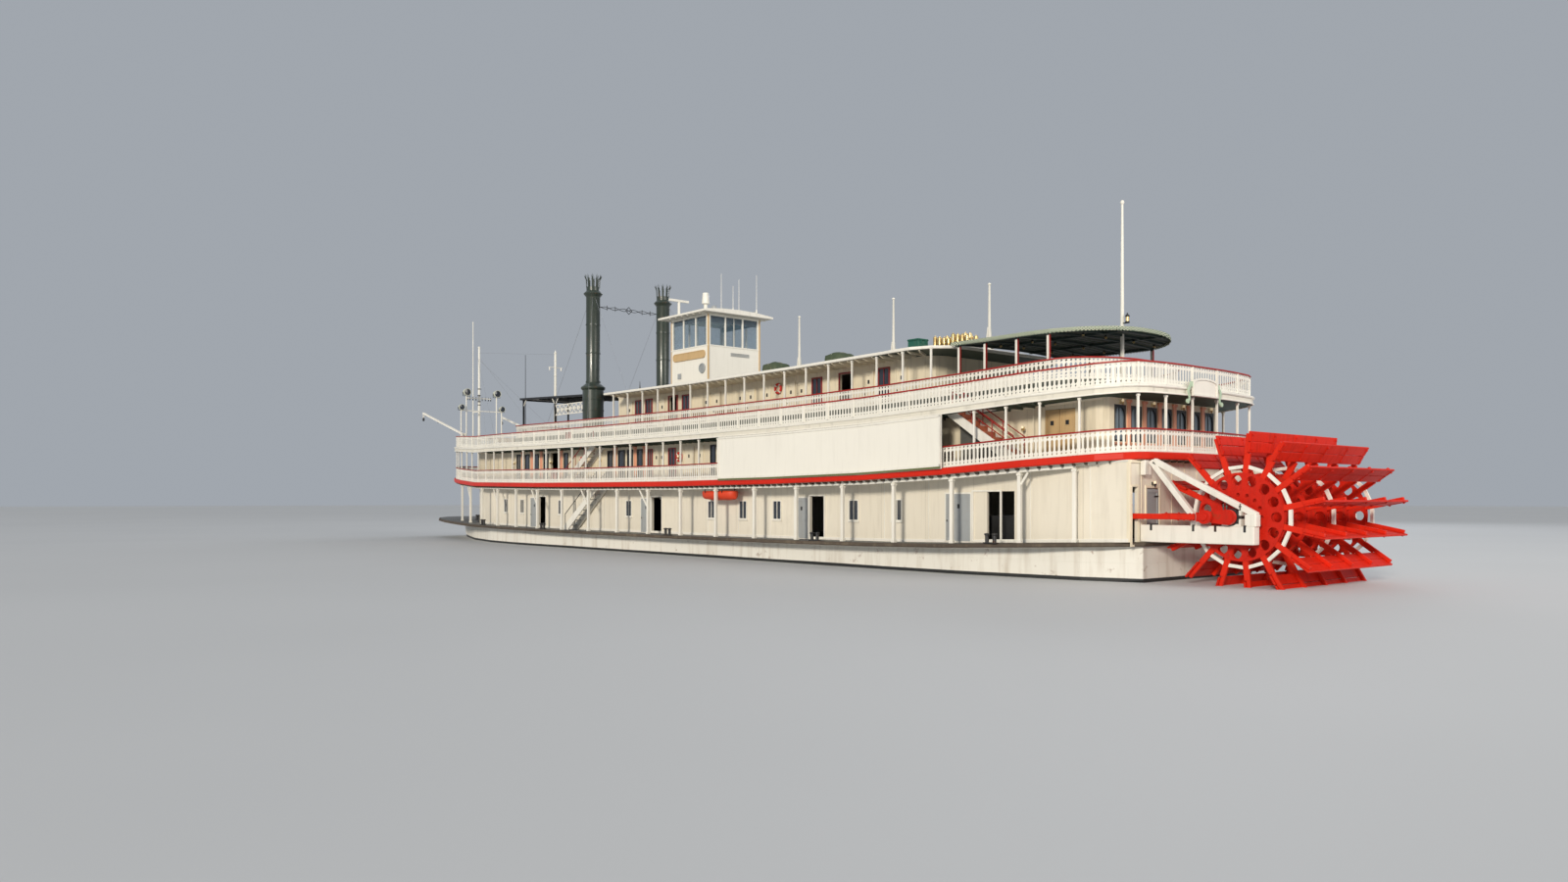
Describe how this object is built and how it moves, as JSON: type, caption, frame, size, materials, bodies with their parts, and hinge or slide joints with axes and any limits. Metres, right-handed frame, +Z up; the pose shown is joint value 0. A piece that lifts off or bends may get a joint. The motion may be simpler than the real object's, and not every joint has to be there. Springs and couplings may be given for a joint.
{
  "type": "paddle steamer, 1:10 scale model",
  "caption": "Stern-wheel river steamer with a shallow hull, guarded decks with balustrades, tall crowned stacks, a pilothouse, a red paddle wheel, rudders, opening doors and swinging booms.",
  "frame": {"origin": "on the hull's flat bottom, on the centre line, halfway along the boat over all; the waterline is at z = 0.180", "axes": "+X towards the bow, +Y to port, +Z up"},
  "size_m": [8.0915, 1.4248, 2.15],
  "materials": {
    "white_paint": "satin paint",
    "hull_paint": "satin paint",
    "grey_deck": "matt non-slip paint",
    "red_deck": "matt paint, red edge",
    "cream_paint": "satin paint",
    "white_wood": "satin paint",
    "red_wood": "gloss paint, weathered",
    "red_iron": "gloss paint, weathered",
    "grey_door": "satin paint",
    "tan_wood": "varnished",
    "dark_iron": "satin paint",
    "engine_iron": "oily",
    "awning_cloth": "woven, matt",
    "canopy_board": "matt paint",
    "brass_pipes": "polished, spotted"
  },
  "bodies": {
    "boat": {"aft_awning": "awning_cloth", "aft_staff": "white_wood", "awning_frame": "white_paint", "boiler_block": "engine_iron", "boiler_cabin": "cream_paint", "boiler_deck": "red_deck", "boiler_rail_port": "white_wood", "boiler_rail_starboard": "white_wood", "bow_mast": "white_paint", "calliope": "brass_pipes", "engine_block_port": "engine_iron", "engine_block_starboard": "engine_iron", "fore_canopy": "canopy_board", "fore_mast": "white_paint", "hull": "hull_paint", "inner_deck": "white_paint", "inner_rail_port": "white_wood", "inner_rail_starboard": "white_wood", "main_deck": "grey_deck", "main_house_aft": "white_wood", "main_house_fore": "white_wood", "main_posts_port": "white_wood", "main_posts_starboard": "white_wood", "pilothouse": "white_wood", "pilothouse_roof": "white_paint", "sign_board_port": "white_wood", "sign_board_starboard": "white_wood", "stack_port": "dark_iron", "stack_spreader": "dark_iron", "stack_starboard": "dark_iron", "stair_aft_port": "red_wood", "stair_aft_starboard": "red_wood", "stair_fore_port": "white_paint", "stair_fore_starboard": "white_paint", "stair_main_port": "white_paint", "stair_main_starboard": "white_paint", "texas_cabin": "cream_paint", "texas_deck": "white_paint", "texas_rail_port": "white_wood", "texas_rail_starboard": "white_wood", "texas_roof": "white_paint", "wheel_timbers_port": "white_wood", "wheel_timbers_starboard": "white_wood"},
    "paddle_wheel": {"paddle_wheel": "red_wood"},
    "pitman_port": {"pitman_port": "red_iron"},
    "pitman_starboard": {"pitman_starboard": "red_iron"},
    "rudder_port": {"rudder_port": "red_iron"},
    "rudder_middle": {"rudder_middle": "red_iron"},
    "rudder_starboard": {"rudder_starboard": "red_iron"},
    "aft_door": {"aft_door": "grey_door"},
    "pilothouse_door": {"pilothouse_door": "tan_wood"},
    "cabin_door_aft_port": {"cabin_door_aft_port": "tan_wood"},
    "cabin_door_fore_port": {"cabin_door_fore_port": "tan_wood"},
    "boom_post_port": {"boom_post_port": "white_paint"},
    "boom_port": {"boom_port": "white_wood"},
    "cabin_door_aft_starboard": {"cabin_door_aft_starboard": "tan_wood"},
    "cabin_door_fore_starboard": {"cabin_door_fore_starboard": "tan_wood"},
    "boom_post_starboard": {"boom_post_starboard": "white_paint"},
    "boom_starboard": {"boom_starboard": "white_wood"}
  },
  "joints": [
    {"name": "wheel_spin", "type": "hinge", "parent": "boat", "child": "paddle_wheel", "pos_m": [-3.715, 0, 0.445], "axis": [0, 1, 0], "continuous": true},
    {"name": "pitman_port_swing", "type": "hinge", "parent": "paddle_wheel", "child": "pitman_port", "pos_m": [-3.635, 0.472, 0.445], "axis": [0, 1, 0], "continuous": true},
    {"name": "pitman_starboard_swing", "type": "hinge", "parent": "paddle_wheel", "child": "pitman_starboard", "pos_m": [-3.715, -0.472, 0.525], "axis": [0, 1, 0], "continuous": true},
    {"name": "rudder_middle_turn", "type": "hinge", "parent": "boat", "child": "rudder_middle", "pos_m": [-3.24, 0, 0.07], "axis": [0, 0, 1], "range_deg": [-35, 35]},
    {"name": "rudder_port_turn", "type": "hinge", "parent": "boat", "child": "rudder_port", "pos_m": [-3.24, 0.255, 0.07], "axis": [0, 0, 1], "range_deg": [-35, 35]},
    {"name": "rudder_starboard_turn", "type": "hinge", "parent": "boat", "child": "rudder_starboard", "pos_m": [-3.24, -0.255, 0.07], "axis": [0, 0, 1], "range_deg": [-35, 35]},
    {"name": "cabin_door_aft_port_hinge", "type": "hinge", "parent": "boat", "child": "cabin_door_aft_port", "pos_m": [-3.051, 0.462, 0.78], "axis": [0, 0, 1], "range_deg": [0, 100]},
    {"name": "cabin_door_fore_port_hinge", "type": "hinge", "parent": "boat", "child": "cabin_door_fore_port", "pos_m": [-2.899, 0.462, 0.78], "axis": [0, 0, -1], "range_deg": [0, 100]},
    {"name": "boom_slew_port", "type": "hinge", "parent": "boat", "child": "boom_post_port", "pos_m": [3.185, 0.385, 0.9678], "axis": [0, 0, 1], "range_deg": [-12, 75]},
    {"name": "boom_luff_port", "type": "hinge", "parent": "boom_post_port", "child": "boom_port", "pos_m": [3.185, 0.385, 1.0678], "axis": [0, -1, 0], "range_deg": [-8, 45]},
    {"name": "cabin_door_aft_starboard_hinge", "type": "hinge", "parent": "boat", "child": "cabin_door_aft_starboard", "pos_m": [-3.051, -0.462, 0.78], "axis": [0, 0, -1], "range_deg": [0, 100]},
    {"name": "cabin_door_fore_starboard_hinge", "type": "hinge", "parent": "boat", "child": "cabin_door_fore_starboard", "pos_m": [-2.899, -0.462, 0.78], "axis": [0, 0, 1], "range_deg": [0, 100]},
    {"name": "boom_slew_starboard", "type": "hinge", "parent": "boat", "child": "boom_post_starboard", "pos_m": [3.185, -0.385, 0.9678], "axis": [0, 0, -1], "range_deg": [-12, 75]},
    {"name": "boom_luff_starboard", "type": "hinge", "parent": "boom_post_starboard", "child": "boom_starboard", "pos_m": [3.185, -0.385, 1.0678], "axis": [0, -1, 0], "range_deg": [-8, 45]},
    {"name": "aft_door_hinge", "type": "hinge", "parent": "boat", "child": "aft_door", "pos_m": [-3.323, 0.298, 0.45], "axis": [0, 0, -1], "range_deg": [0, 100]},
    {"name": "pilothouse_door_hinge", "type": "hinge", "parent": "boat", "child": "pilothouse_door", "pos_m": [-0.05, -0.21, 1.35], "axis": [0, 0, -1], "range_deg": [0, 100]}
  ],
  "couplings": [
    {"joint": "pitman_port_swing", "follows": "wheel_spin", "ratio": -1},
    {"joint": "pitman_starboard_swing", "follows": "wheel_spin", "ratio": -1},
    {"joint": "rudder_port_turn", "follows": "rudder_middle_turn", "ratio": 1},
    {"joint": "rudder_starboard_turn", "follows": "rudder_middle_turn", "ratio": 1}
  ]
}
